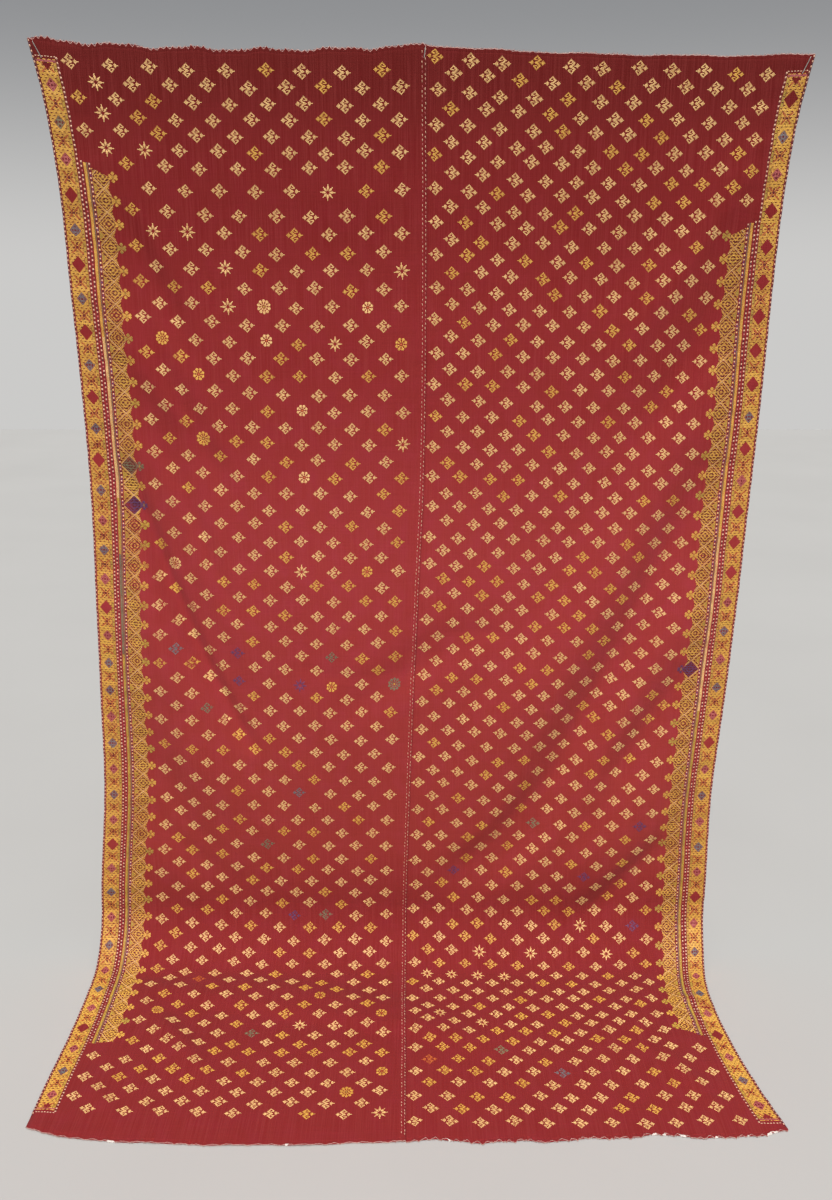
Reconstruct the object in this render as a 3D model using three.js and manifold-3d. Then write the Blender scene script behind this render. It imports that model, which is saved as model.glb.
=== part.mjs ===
// Odhani shawl: two loom widths of handwoven cotton, joined by a lapped seam down the middle.
// It hangs by its top edge from three bent wire pins, and its lower end lies out on the floor.
//
// Millimetres. +X is to the right, +Y is towards the wall behind the cloth, +Z is up.
// The origin is on the axis of the centre pin, at the back face of the cloth.

import * as THREE from 'three';
import Module from 'manifold-3d';

const wasm = await Module();
wasm.setup();

// ---------------------------------------------------------------- driving dimensions

const WALL = 1.5; // thickness of the embroidered cloth
const TOUCH_GAP = 0.3; // air left between pieces that touch
const LAP_WIDTH = 8; // how far the left width lies over the right one at the seam
const LAP_RAMP = 12; // width over which the lap steps up
const CLOTH_LENGTH = 2434; // warp length of the shawl
const FLOOR_DROP = 1897; // from the centre pin down to the floor
const FLOOR_BEND = 120; // radius where the hanging cloth turns out onto the floor
const EDGE_ABOVE_PIN = 5; // cloth above the axis of each pin

const WIRE_RADIUS = 0.8;
const WIRE_SIDES = 8;
const WIRE_BEND = 2; // radius of the bend at the front of the cloth
const WIRE_STANDOFF = 25; // from the back of the cloth to the wall
const PIN_HOLE_RADIUS = 1.6;

const COLUMN_COUNT = 20; // cells across each width, besides those at the seam
const HANG_ROWS = 40;
const BEND_ROWS = 7;
const FLOOR_ROWS = 11;

// Side edges and seam, seen from the front. "along" is the distance down the cloth from its
// top edge, and the other columns are places along X.
const SECTIONS = [
  { along: 0, left: -723, seam: 3, right: 711 },
  { along: 110, left: -703, seam: 3, right: 691 },
  { along: 256, left: -690, seam: 4, right: 678 },
  { along: 437, left: -686, seam: 4, right: 673 },
  { along: 630, left: -682, seam: 3, right: 671 },
  { along: 832, left: -682, seam: -1, right: 666 },
  { along: 1046, left: -690, seam: -11, right: 661 },
  { along: 1273, left: -700, seam: -21, right: 653 },
  { along: 1513, left: -711, seam: -30, right: 642 },
  { along: 1769, left: -739, seam: -38, right: 647 },
  { along: 1890, left: -743, seam: -39, right: 643 },
  { along: 2034, left: -735, seam: -39, right: 622 },
  { along: 2190, left: -732, seam: -37, right: 628 },
  { along: 2326, left: -735, seam: -36, right: 645 },
  { along: 2430, left: -734, seam: -35, right: 665 },
];

// How much of the cloth's length is missing along its lower edge, where the borders draw the
// corners up and the right width was cut shorter.
const LOWER_EDGE = [
  { x: -740, trim: 20 },
  { x: -650, trim: 0 },
  { x: 60, trim: 2 },
  { x: 250, trim: 14 },
  { x: 430, trim: 30 },
  { x: 560, trim: 24 },
  { x: 670, trim: 42 },
];

// The largest folds. "path" holds [X, along] places down the middle of each fold, "reach" is
// half its width, and "height" is how far it stands out of the cloth; a trough is negative.
const FOLDS = [
  { name: 'right upper ridge', path: [[616, 168], [490, 363], [383, 513]], reach: 90, height: 9 },
  { name: 'right upper trough', path: [[587, 419], [523, 553], [433, 690]], reach: 80, height: -9 },
  { name: 'right broad ridge', path: [[549, 630], [444, 874], [352, 1091], [167, 1369], [127, 1564]],
    reach: 125, height: 15 },
  { name: 'right main trough', path: [[566, 771], [418, 1137], [239, 1564], [84, 1718]],
    reach: 85, height: -19 },
  { name: 'right middle ridge', path: [[602, 1010], [480, 1230], [352, 1480]], reach: 75, height: 9 },
  { name: 'right lower trough', path: [[559, 1171], [494, 1321], [414, 1465]], reach: 75, height: -11 },
  { name: 'right lower ridge', path: [[560, 1400], [450, 1590], [300, 1745]], reach: 85, height: 10 },
  { name: 'right hem trough', path: [[546, 1615], [452, 1743], [341, 1835]], reach: 70, height: -10 },
  { name: 'left upper trough', path: [[-600, 310], [-551, 419], [-480, 513]], reach: 80, height: -8 },
  { name: 'left upper ridge', path: [[-610, 450], [-540, 570], [-440, 680]], reach: 80, height: 6 },
  { name: 'left second trough', path: [[-584, 591], [-531, 690], [-450, 800]], reach: 75, height: -7 },
  { name: 'left main trough', path: [[-588, 822], [-531, 981], [-459, 1182], [-401, 1321]],
    reach: 85, height: -13 },
  { name: 'left middle ridge', path: [[-610, 1060], [-540, 1330], [-400, 1560]], reach: 100, height: 10 },
  { name: 'left lower trough', path: [[-597, 1321], [-570, 1564], [-466, 1718]], reach: 85, height: -11 },
  { name: 'centre crease', path: [[-161, 1297], [-30, 1205], [140, 1102]], reach: 70, height: -7 },
  { name: 'left inner ridge', path: [[-300, 700], [-250, 1050], [-180, 1500]], reach: 120, height: 6 },
  { name: 'floor ridge', path: [[-640, 2030], [-388, 2010], [-51, 2090], [120, 2170]],
    reach: 75, height: 9 },
  { name: 'left floor ridge', path: [[-560, 2110], [-500, 2190], [-430, 2290]], reach: 60, height: 8 },
  { name: 'right floor ridge', path: [[600, 1990], [520, 2130], [470, 2290]], reach: 60, height: 8 },
  { name: 'right inner floor ridge', path: [[420, 2040], [360, 2170], [330, 2290]], reach: 55, height: 7 },
];

// The pins, from left to right. "x" and "z" place the pin's axis, "tipX" and "tipZ" say where
// the tip of its front leg lies from there, and "layers" is the cloth that the pin goes through.
const PINS = [
  { name: 'pin_left', x: -714, z: 11, tipX: 14, tipZ: -28, layers: 1 },
  { name: 'pin_centre', x: 0, z: 0, tipX: -2, tipZ: -17, layers: 2 },
  { name: 'pin_right', x: 703, z: -15, tipX: -13, tipZ: -28, layers: 1 },
];

// How far the top edge sags between the pins, and how far it bows forward there.
const TOP_SAGS = [
  { side: 'left', sag: 14, bow: 7 },
  { side: 'right', sag: 10, bow: 9 },
];
const BOW_FADE = 420; // distance down the cloth over which the bow dies out

// Slow waves in the raw top and bottom edges: the loom's cut is rougher on the left width.
const RAW_WAVES = [
  { side: 'left', size: 2.4, length: 131 },
  { side: 'right', size: 1.0, length: 173 },
];

const CLOTH_RED = 0x8e2a33;
const STEEL_WHITE = 0xd8d4cc;

// ---------------------------------------------------------------- the cloth's surface

function smoothStep(low, high, value) {
  const share = THREE.MathUtils.clamp((value - low) / (high - low), 0, 1);
  return share * share * (3 - 2 * share);
}

// Reads one column of a table at a place given in another column, on a smooth curve.
function readTable(table, placeColumn, column, place) {
  const last = table.length - 1;
  let index = 0;
  while (index < last - 1 && table[index + 1][placeColumn] < place) {
    index += 1;
  }
  const slopeAt = (row) => {
    const before = table[Math.max(row - 1, 0)];
    const after = table[Math.min(row + 1, last)];
    return (after[column] - before[column]) / (after[placeColumn] - before[placeColumn]);
  };
  const low = table[index];
  const high = table[index + 1];
  const span = high[placeColumn] - low[placeColumn];
  const t = (place - low[placeColumn]) / span;
  const lowShare = 2 * t ** 3 - 3 * t ** 2 + 1;
  const highShare = 1 - lowShare;
  const lowTurn = (t ** 3 - 2 * t ** 2 + t) * span * slopeAt(index);
  const highTurn = (t ** 3 - t ** 2) * span * slopeAt(index + 1);
  return lowShare * low[column] + highShare * high[column] + lowTurn + highTurn;
}

function sectionAt(column, along) {
  return readTable(SECTIONS, 'along', column, along);
}

// Which half of the top edge a place lies in, and how far along it, from 0 at its left pin to 1.
function topSpan(x) {
  const half = x < 0 ? 0 : 1;
  const from = PINS[half];
  const to = PINS[half + 1];
  const share = THREE.MathUtils.clamp((x - from.x) / (to.x - from.x), 0, 1);
  return { half, from, to, share };
}

function topEdgeHeight(x) {
  const { half, from, to, share } = topSpan(x);
  const sag = TOP_SAGS[half].sag * 4 * share * (1 - share);
  return THREE.MathUtils.lerp(from.z, to.z, share) + EDGE_ABOVE_PIN - sag;
}

function topBow(x, along) {
  const { half, share } = topSpan(x);
  const fade = 1 - smoothStep(0, BOW_FADE, along);
  return TOP_SAGS[half].bow * Math.sin(Math.PI * share) ** 2 * fade;
}

const FOLD_STEPS = 16;
const foldLines = FOLDS.map((fold) => {
  const places = fold.path.map(([x, along]) => new THREE.Vector2(x, along));
  return new THREE.SplineCurve(places).getPoints(FOLD_STEPS);
});

// One fold's part in the height of the cloth at a place: a round-sided bump across the fold,
// which fades towards both of its ends.
function foldShare(fold, line, x, along) {
  let nearest = fold.reach;
  let travelled = 0;
  for (let step = 0; step < FOLD_STEPS; step += 1) {
    const start = line[step];
    const runX = line[step + 1].x - start.x;
    const runAlong = line[step + 1].y - start.y;
    const dot = (x - start.x) * runX + (along - start.y) * runAlong;
    const t = THREE.MathUtils.clamp(dot / (runX * runX + runAlong * runAlong), 0, 1);
    const distance = Math.hypot(x - start.x - t * runX, along - start.y - t * runAlong);
    if (distance < nearest) {
      nearest = distance;
      travelled = (step + t) / FOLD_STEPS;
    }
  }
  const across = (1 - (nearest / fold.reach) ** 2) ** 2;
  const lengthwise = Math.sin(Math.PI * (0.12 + 0.76 * travelled));
  return fold.height * across * lengthwise;
}

function foldHeight(x, along) {
  let height = topBow(x, along);
  FOLDS.forEach((fold, index) => {
    height += foldShare(fold, foldLines[index], x, along);
  });
  return height;
}

const HANG_LENGTH = FLOOR_DROP - FLOOR_BEND;
const BEND_LENGTH = FLOOR_BEND * Math.PI / 2;

// The back face of the cloth: straight down from the pins, round the bend and out on the floor.
// Troughs die out in the bend, because the floor bears the cloth from there on.
function backPoint(x, along) {
  const travel = along - topEdgeHeight(x);
  const turn = THREE.MathUtils.clamp((travel - HANG_LENGTH) / FLOOR_BEND, 0, Math.PI / 2);
  const flat = Math.max(0, travel - HANG_LENGTH - BEND_LENGTH);
  const height = foldHeight(x, along);
  const lift = height > 0 ? height : height * (1 - smoothStep(0, Math.PI / 2, turn));
  const isFlat = turn === Math.PI / 2;
  const forward = isFlat ? 0 : Math.cos(turn);
  const upward = isFlat ? 1 : Math.sin(turn);
  const y = -FLOOR_BEND * (1 - forward) - flat - lift * forward;
  const z = -Math.min(travel, HANG_LENGTH) - FLOOR_BEND * upward + lift * upward;
  return new THREE.Vector3(x, y, z);
}

// The direction out of the cloth's front face.
function frontNormal(x, along) {
  const step = 4;
  const across = backPoint(x + step, along).sub(backPoint(x - step, along));
  const down = backPoint(x, along + step).sub(backPoint(x, along - step));
  return down.cross(across).normalize();
}

function rawWave(x) {
  const wave = RAW_WAVES[x < 0 ? 0 : 1];
  const turns = 2 * Math.PI * x / wave.length;
  return wave.size * (Math.sin(turns) + 0.5 * Math.sin(2.3 * turns));
}

// The cloth from its raw top edge, at share 0, to its raw lower edge, at share 1.
function alongAt(x, share) {
  const start = rawWave(x);
  const end = CLOTH_LENGTH - readTable(LOWER_EDGE, 'x', 'trim', x) + rawWave(-x);
  return THREE.MathUtils.lerp(start, end, share);
}

// ---------------------------------------------------------------- the two widths

function rowShares() {
  const shares = [];
  const bendStart = HANG_LENGTH / CLOTH_LENGTH;
  const bendEnd = (HANG_LENGTH + BEND_LENGTH) / CLOTH_LENGTH;
  for (let row = 0; row < HANG_ROWS; row += 1) {
    shares.push(bendStart * row / HANG_ROWS);
  }
  for (let row = 0; row < BEND_ROWS; row += 1) {
    shares.push(THREE.MathUtils.lerp(bendStart, bendEnd, row / BEND_ROWS));
  }
  for (let row = 0; row <= FLOOR_ROWS; row += 1) {
    shares.push(THREE.MathUtils.lerp(bendEnd, 1, row / FLOOR_ROWS));
  }
  return shares;
}

// A column runs down the cloth. "share" is its place from the seam, at 0, to the side edge,
// at 1, "offset" moves it along X, and "rise" lifts it off what it lies on.
function leftColumns() {
  const columns = [];
  for (let index = 0; index <= COLUMN_COUNT; index += 1) {
    const share = 1 - index / COLUMN_COUNT;
    columns.push({ share, offset: -(LAP_WIDTH + LAP_RAMP) * (1 - share), rise: 0 });
  }
  columns.push({ share: 0, offset: -LAP_WIDTH, rise: WALL + TOUCH_GAP });
  columns.push({ share: 0, offset: 0, rise: WALL + TOUCH_GAP });
  return columns;
}

function rightColumns() {
  const columns = [
    { share: 0, offset: -LAP_WIDTH, rise: 0 },
    { share: 0, offset: 0, rise: 0 },
  ];
  for (let index = 0; index <= COLUMN_COUNT; index += 1) {
    const share = index / COLUMN_COUNT;
    columns.push({ share, offset: LAP_RAMP * (1 - share), rise: 0 });
  }
  return columns;
}

// A closed wall: a back layer and a front layer of points, joined round the edge. Its squares
// are split along the run of the folds, which hang from each side down towards the seam; the
// squares of the lap are split alike on both widths, so that their faces stay parallel.
function panelGeometry(edge, columns) {
  const rows = rowShares();
  const positions = [];
  [0, WALL].forEach((layer) => {
    rows.forEach((rowShare) => {
      const guide = rowShare * CLOTH_LENGTH;
      columns.forEach(({ share, offset, rise }) => {
        const seam = sectionAt('seam', guide);
        const x = seam + share * (sectionAt(edge, guide) - seam) + offset;
        const along = alongAt(x, rowShare);
        const point = backPoint(x, along);
        point.addScaledVector(frontNormal(x, along), rise + layer);
        positions.push(point.x, point.y, point.z);
      });
    });
  });

  const width = columns.length;
  const layerSize = width * rows.length;
  const indices = [];
  const addQuad = (a, b, c, d) => {
    indices.push(a, b, c);
    indices.push(a, c, d);
  };
  for (let row = 0; row < rows.length - 1; row += 1) {
    for (let column = 0; column < width - 1; column += 1) {
      const back = row * width + column;
      const front = back + layerSize;
      if (edge === 'right' && column > 0) {
        addQuad(back + 1, back + width + 1, back + width, back);
        addQuad(front + width, front + width + 1, front + 1, front);
      } else {
        addQuad(back, back + 1, back + width + 1, back + width);
        addQuad(front, front + width, front + width + 1, front + 1);
      }
    }
  }
  const rim = rimIndices(width, rows.length);
  rim.forEach((place, index) => {
    const next = rim[(index + 1) % rim.length];
    addQuad(place, place + layerSize, next + layerSize, next);
  });

  const geometry = new THREE.BufferGeometry();
  geometry.setAttribute('position', new THREE.Float32BufferAttribute(positions, 3));
  geometry.setIndex(indices);
  return geometry;
}

// The places round the edge of a grid: along the top row, down, back along the last row and up.
function rimIndices(width, height) {
  const rim = [];
  for (let column = 0; column < width - 1; column += 1) {
    rim.push(column);
  }
  for (let row = 0; row < height - 1; row += 1) {
    rim.push(row * width + width - 1);
  }
  for (let column = width - 1; column > 0; column -= 1) {
    rim.push((height - 1) * width + column);
  }
  for (let row = height - 1; row > 0; row -= 1) {
    rim.push(row * width);
  }
  return rim;
}

// ---------------------------------------------------------------- cutting the pin holes

function toSolid(geometry) {
  return new wasm.Manifold(new wasm.Mesh({
    numProp: 3,
    vertProperties: new Float32Array(geometry.getAttribute('position').array),
    triVerts: new Uint32Array(geometry.getIndex().array),
  }));
}

function toGeometry(solid) {
  const mesh = solid.getMesh();
  const geometry = new THREE.BufferGeometry();
  geometry.setAttribute('position', new THREE.Float32BufferAttribute(mesh.vertProperties, 3));
  geometry.setIndex(Array.from(mesh.triVerts));
  return geometry;
}

// A bar along Y, wide enough to open the hole that a pin has worn in the cloth.
function pinHoleCutter(pin) {
  const start = new THREE.Vector3(pin.x, WIRE_STANDOFF / 2, pin.z);
  const end = new THREE.Vector3(pin.x, -WIRE_STANDOFF / 2, pin.z);
  return toSolid(wireGeometry([start, end], PIN_HOLE_RADIUS));
}

function withPinHoles(geometry, pins) {
  const cut = pins.reduce((solid, pin) => solid.subtract(pinHoleCutter(pin)), toSolid(geometry));
  return toGeometry(cut);
}

// ---------------------------------------------------------------- wire pins

// A round bar through a few points, with a ring of corners at each and a flat cap at both ends.
function wireGeometry(points, radius) {
  const positions = [];
  const indices = [];
  const sideways = new THREE.Vector3(1, 0, 0);
  points.forEach((point, index) => {
    const before = points[Math.max(index - 1, 0)];
    const after = points[Math.min(index + 1, points.length - 1)];
    const direction = after.clone().sub(before).normalize();
    const upwards = new THREE.Vector3().crossVectors(direction, sideways).normalize();
    const across = new THREE.Vector3().crossVectors(upwards, direction).normalize();
    for (let side = 0; side < WIRE_SIDES; side += 1) {
      const angle = 2 * Math.PI * (side + 0.5) / WIRE_SIDES;
      const corner = point.clone();
      corner.addScaledVector(across, radius * Math.cos(angle));
      corner.addScaledVector(upwards, radius * Math.sin(angle));
      positions.push(corner.x, corner.y, corner.z);
    }
  });
  for (let ring = 0; ring < points.length - 1; ring += 1) {
    for (let side = 0; side < WIRE_SIDES; side += 1) {
      const here = ring * WIRE_SIDES + side;
      const beside = ring * WIRE_SIDES + (side + 1) % WIRE_SIDES;
      indices.push(here, beside, here + WIRE_SIDES);
      indices.push(beside, beside + WIRE_SIDES, here + WIRE_SIDES);
    }
  }
  const endRing = (points.length - 1) * WIRE_SIDES;
  for (let side = 1; side < WIRE_SIDES - 1; side += 1) {
    indices.push(0, side + 1, side);
    indices.push(endRing, endRing + side, endRing + side + 1);
  }
  const geometry = new THREE.BufferGeometry();
  geometry.setAttribute('position', new THREE.Float32BufferAttribute(positions, 3));
  geometry.setIndex(indices);
  return geometry;
}

// From the wall, through the hole in the cloth, round a bend and down the front of the cloth.
function pinPath(pin) {
  const clothFront = -(pin.layers * WALL + (pin.layers - 1) * TOUCH_GAP);
  const legY = clothFront - TOUCH_GAP - WIRE_RADIUS;
  const leg = new THREE.Vector3(pin.tipX, 0, pin.tipZ).normalize();
  const centre = new THREE.Vector3(pin.x, legY + WIRE_BEND, pin.z).addScaledVector(leg, WIRE_BEND);
  const points = [new THREE.Vector3(pin.x, WIRE_STANDOFF, pin.z)];
  for (let step = 0; step <= 4; step += 1) {
    const angle = Math.PI / 2 * step / 4;
    const bend = centre.clone().addScaledVector(leg, -WIRE_BEND * Math.cos(angle));
    bend.y -= WIRE_BEND * Math.sin(angle);
    points.push(bend);
  }
  points.push(new THREE.Vector3(pin.x + pin.tipX, legY, pin.z + pin.tipZ));
  return points;
}

// ---------------------------------------------------------------- the shawl

const shawl = new THREE.Group();

function addPiece(name, geometry, color, roughness, metalness) {
  geometry.computeVertexNormals();
  const mesh = new THREE.Mesh(geometry, new THREE.MeshStandardMaterial({ color, roughness, metalness }));
  mesh.name = name;
  shawl.add(mesh);
}

const [leftPin, centrePin, rightPin] = PINS;
const leftPanel = withPinHoles(panelGeometry('left', leftColumns()), [leftPin, centrePin]);
const rightPanel = withPinHoles(panelGeometry('right', rightColumns()), [centrePin, rightPin]);
addPiece('left_panel', leftPanel, CLOTH_RED, 0.85, 0);
addPiece('right_panel', rightPanel, CLOTH_RED, 0.85, 0);
PINS.forEach((pin) => {
  addPiece(pin.name, wireGeometry(pinPath(pin), WIRE_RADIUS), STEEL_WHITE, 0.4, 0.6);
});

export default shawl;
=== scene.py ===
"""Odhani shawl: two joined widths of red handwoven cotton with silk embroidery, hung by its top
edge on three wire pins, its lower end lying out on the floor.

Sizes are millimetres until a mesh is made. "across" is the distance from a width's outer
selvedge towards the seam, and "along" is the distance down the cloth from its top edge.
"""

import math
import bpy
import numpy as np
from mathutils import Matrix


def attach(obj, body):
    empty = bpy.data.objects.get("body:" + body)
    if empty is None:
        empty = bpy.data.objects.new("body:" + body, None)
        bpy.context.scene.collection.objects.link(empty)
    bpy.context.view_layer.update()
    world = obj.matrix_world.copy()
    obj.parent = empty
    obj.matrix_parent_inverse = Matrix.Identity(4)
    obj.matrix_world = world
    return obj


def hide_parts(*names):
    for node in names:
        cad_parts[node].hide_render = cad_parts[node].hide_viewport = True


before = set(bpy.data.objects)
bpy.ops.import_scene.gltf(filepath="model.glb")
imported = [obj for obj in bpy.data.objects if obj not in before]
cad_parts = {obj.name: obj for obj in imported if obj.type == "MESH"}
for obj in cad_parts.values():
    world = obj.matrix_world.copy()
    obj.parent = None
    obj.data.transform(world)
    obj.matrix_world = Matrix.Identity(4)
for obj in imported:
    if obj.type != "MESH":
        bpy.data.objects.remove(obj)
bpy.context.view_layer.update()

# ---------------------------------------------------------------- sizes of the cloth

METRES = 0.001
CLOTH_LENGTH = 2434
FLAT_WIDTH = 715  # of one loom width, from selvedge to seam
FLOOR_DROP = 1897
FLOOR_BEND = 120
HANG_LENGTH = FLOOR_DROP - FLOOR_BEND
BEND_LENGTH = FLOOR_BEND * math.pi / 2
EDGE_ABOVE_PIN = 5
LAP_WIDTH = 8
LAP_START = 694  # across, where the left width starts to step up onto the right one
LAP_TOP = 706
LAP_RISE = 1.8
BACK_FACE = 0.25  # the cloth's two faces, out from the back of its solid
FRONT_FACE = 1.25
HANG_STEPS = 170  # rows of the cloth's grid as it hangs, round the bend and on the floor
BEND_STEPS = 20
FLOOR_STEPS = 45
ACROSS_PLACES = 69  # even columns of the grid, which stop short of those at the seam
SHORT_OF_SEAM = 10

# The camera, found from the photo's perspective: place in metres, how far it looks down, lens.
CAMERA_PLACE = (-0.017, -2.131, -0.407)
CAMERA_DOWN = math.radians(16.8)
LENS = 31.68
SENSOR = 36
PICTURE = (832, 1200)  # width and height in pixels

# Side edges and seam: along, left edge, seam, right edge.
SECTIONS = np.array((
    (0, -723, 3, 711),
    (110, -703, 3, 691),
    (256, -690, 4, 678),
    (437, -686, 4, 673),
    (630, -682, 3, 671),
    (832, -682, -1, 666),
    (1046, -690, -11, 661),
    (1273, -700, -21, 653),
    (1513, -711, -30, 642),
    (1769, -739, -38, 647),
    (1890, -743, -39, 643),
    (2034, -735, -39, 622),
    (2190, -732, -37, 628),
    (2326, -735, -36, 645),
    (2430, -734, -35, 665),
), float)
LEFT_EDGE, SEAM, RIGHT_EDGE = 1, 2, 3

# How much of the cloth's length is missing along its lower edge: X, trim.
LOWER_EDGE = np.array((
    (-740, 20),
    (-650, 0),
    (60, 2),
    (250, 14),
    (430, 30),
    (560, 24),
    (670, 42),
), float)

# Folds: [X, along] places down the middle of each, half its width, and how far it stands out.
FOLDS = (
    ("right upper ridge", ((616, 168), (490, 363), (383, 513)), 90, 9),
    ("right upper trough", ((587, 419), (523, 553), (433, 690)), 80, -9),
    ("right broad ridge", ((549, 630), (444, 874), (352, 1091), (167, 1369), (127, 1564)), 125, 15),
    ("right main trough", ((566, 771), (418, 1137), (239, 1564), (84, 1718)), 85, -19),
    ("right middle ridge", ((602, 1010), (480, 1230), (352, 1480)), 75, 9),
    ("right lower trough", ((559, 1171), (494, 1321), (414, 1465)), 75, -11),
    ("right lower ridge", ((560, 1400), (450, 1590), (300, 1745)), 85, 10),
    ("right hem trough", ((546, 1615), (452, 1743), (341, 1835)), 70, -10),
    ("left upper trough", ((-600, 310), (-551, 419), (-480, 513)), 80, -8),
    ("left upper ridge", ((-610, 450), (-540, 570), (-440, 680)), 80, 6),
    ("left second trough", ((-584, 591), (-531, 690), (-450, 800)), 75, -7),
    ("left main trough", ((-588, 822), (-531, 981), (-459, 1182), (-401, 1321)), 85, -13),
    ("left middle ridge", ((-610, 1060), (-540, 1330), (-400, 1560)), 100, 10),
    ("left lower trough", ((-597, 1321), (-570, 1564), (-466, 1718)), 85, -11),
    ("centre crease", ((-161, 1297), (-30, 1205), (140, 1102)), 70, -7),
    ("left inner ridge", ((-300, 700), (-250, 1050), (-180, 1500)), 120, 6),
    ("floor ridge", ((-640, 2030), (-388, 2010), (-51, 2090), (120, 2170)), 75, 9),
    ("left floor ridge", ((-560, 2110), (-500, 2190), (-430, 2290)), 60, 8),
    ("right floor ridge", ((600, 1990), (520, 2130), (470, 2290)), 60, 8),
    ("right inner floor ridge", ((420, 2040), (360, 2170), (330, 2290)), 55, 7),
)

# Fine creases that the solids leave out, in the same columns.
CREASES = (
    ("crease left of the seam", ((-270, 1200), (-140, 1222), (-10, 1212)), 20, -1.8),
    ("crease right of the seam", ((-5, 1150), (90, 1120), (190, 1125)), 18, -1.5),
    ("left pull line", ((-600, 520), (-520, 640), (-420, 720)), 24, 2.0),
    ("left border pull", ((-610, 930), (-560, 1010), (-500, 1130)), 22, 2.2),
    ("left lower pull", ((-620, 1480), (-540, 1600), (-420, 1690)), 26, 2.4),
    ("right pull line", ((575, 520), (500, 610), (420, 760)), 24, -2.0),
    ("right border pull", ((560, 900), (500, 1020), (430, 1120)), 22, 2.2),
    ("right lower pull", ((570, 1500), (470, 1640), (360, 1730)), 24, 2.2),
    ("right border pucker", ((540, 2010), (590, 2040), (625, 2065)), 22, 4.0),
    ("right hem wave", ((470, 2180), (520, 2260), (560, 2350)), 30, 4.0),
    ("left hem wave", ((-650, 2290), (-600, 2350), (-560, 2410)), 28, 3.5),
    ("hem ripple one", ((-520, 2330), (-510, 2380), (-505, 2430)), 18, 3.2),
    ("hem ripple two", ((-440, 2340), (-436, 2390), (-430, 2430)), 16, 2.6),
    ("hem ripple three", ((-356, 2330), (-352, 2380), (-350, 2430)), 18, 3.0),
    ("hem ripple four", ((-240, 2350), (-236, 2390), (-232, 2430)), 20, 2.2),
    ("hem ripple five", ((170, 2340), (176, 2380), (180, 2425)), 20, 2.4),
    ("right upper line", ((572, 430), (504, 562), (434, 700)), 34, -4.6),
    ("right upper ridge line", ((624, 155), (508, 350), (330, 634)), 36, 3.6),
    ("right main line", ((560, 768), (436, 1087), (302, 1436)), 38, -5.0),
    ("right main line's foot", ((302, 1436), (187, 1567), (68, 1703)), 34, -3.8),
    ("right lower line", ((550, 1200), (480, 1332), (407, 1468)), 34, -4.2),
    ("right hem line", ((535, 1618), (443, 1729), (346, 1838)), 34, -4.2),
    ("left main line",
     ((-612, 780), (-576, 880), (-540, 1010), (-482, 1175), (-424, 1300), (-380, 1385)), 30, -17.0),
    ("left main ridge line", ((-600, 960), (-580, 1090), (-536, 1270)), 38, 7.0),
    ("left upper line", ((-588, 278), (-529, 386), (-462, 537)), 34, -6.0),
    ("left second line", ((-590, 430), (-524, 560), (-453, 700), (-410, 800)), 34, -7.0),
    ("left third line", ((-540, 700), (-470, 890), (-408, 1070)), 32, -6.5),
    ("centre line", ((-168, 1308), (-8, 1208), (147, 1110)), 32, -1.3),
    ("floor line", ((-641, 1993), (-249, 2082), (114, 2164)), 34, 3.8),
    ("right floor line", ((505, 1937), (450, 2090), (398, 2250)), 30, 7.0),
    ("left floor line", ((-635, 2016), (-535, 2134), (-445, 2241)), 32, 4.6),
)

# Pins: X, Z. Sags of the top edge between them: sag, bow.
PINS = ((-714, 11), (0, 0), (703, -15))
TOP_SAGS = ((14, 7), (10, 9))
BOW_FADE = 420
RAW_WAVES = ((2.4, 131), (1.0, 173))  # size and length, left and right

# The small unevenness of the cloth: how high it stands, and where it fades out.
COCKLE_SIZE = 0.75
COCKLE_FADE = (60, 150)  # from the side edge
PUCKER_SIZE = 0.55
PUCKER_FADE = (3, 42)  # from the seam
CALM_SIZE = 0.7
GROOVE_DEPTH = 1.1
GROOVE_PLACE = 14  # from the seam
GROOVE_WIDTH = 9.0
FOLD_WAVE = (0.12, 0.76)  # of half a wave: where a fold's height starts along it, and how far it runs


# ---------------------------------------------------------------- the cloth's surface

def smooth_step(low, high, value):
    share = np.clip((value - low) / (high - low), 0, 1)
    return share * share * (3 - 2 * share)


def read_table(table, column, place):
    """Reads one column at places given in the table's first column, on a smooth curve."""
    places = table[:, 0]
    values = table[:, column]
    last = len(places) - 1
    after = np.minimum(np.arange(last + 1) + 1, last)
    before = np.maximum(np.arange(last + 1) - 1, 0)
    slopes = (values[after] - values[before]) / (places[after] - places[before])
    index = np.clip(np.searchsorted(places, place) - 1, 0, last - 1)
    span = places[index + 1] - places[index]
    t = (place - places[index]) / span
    low_share = 2 * t ** 3 - 3 * t ** 2 + 1
    low_turn = (t ** 3 - 2 * t ** 2 + t) * span * slopes[index]
    high_turn = (t ** 3 - t ** 2) * span * slopes[index + 1]
    return low_share * values[index] + (1 - low_share) * values[index + 1] + low_turn + high_turn


def smooth_line(path, steps=16):
    """A Catmull-Rom line through a few places, as short straight steps."""
    points = np.array(path, float)
    last = len(points) - 1
    place = np.linspace(0, last, steps + 1)
    low = np.minimum(place.astype(int), last - 1)
    t = (place - low)[:, None]
    p0 = points[np.maximum(low - 1, 0)]
    p1 = points[low]
    p2 = points[low + 1]
    p3 = points[np.minimum(low + 2, last)]
    slope1 = (p2 - p0) / 2
    slope2 = (p3 - p1) / 2
    cubic = (2 * p1 - 2 * p2 + slope1 + slope2) * t ** 3
    square = (-3 * p1 + 3 * p2 - 2 * slope1 - slope2) * t ** 2
    return cubic + square + slope1 * t + p1


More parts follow.
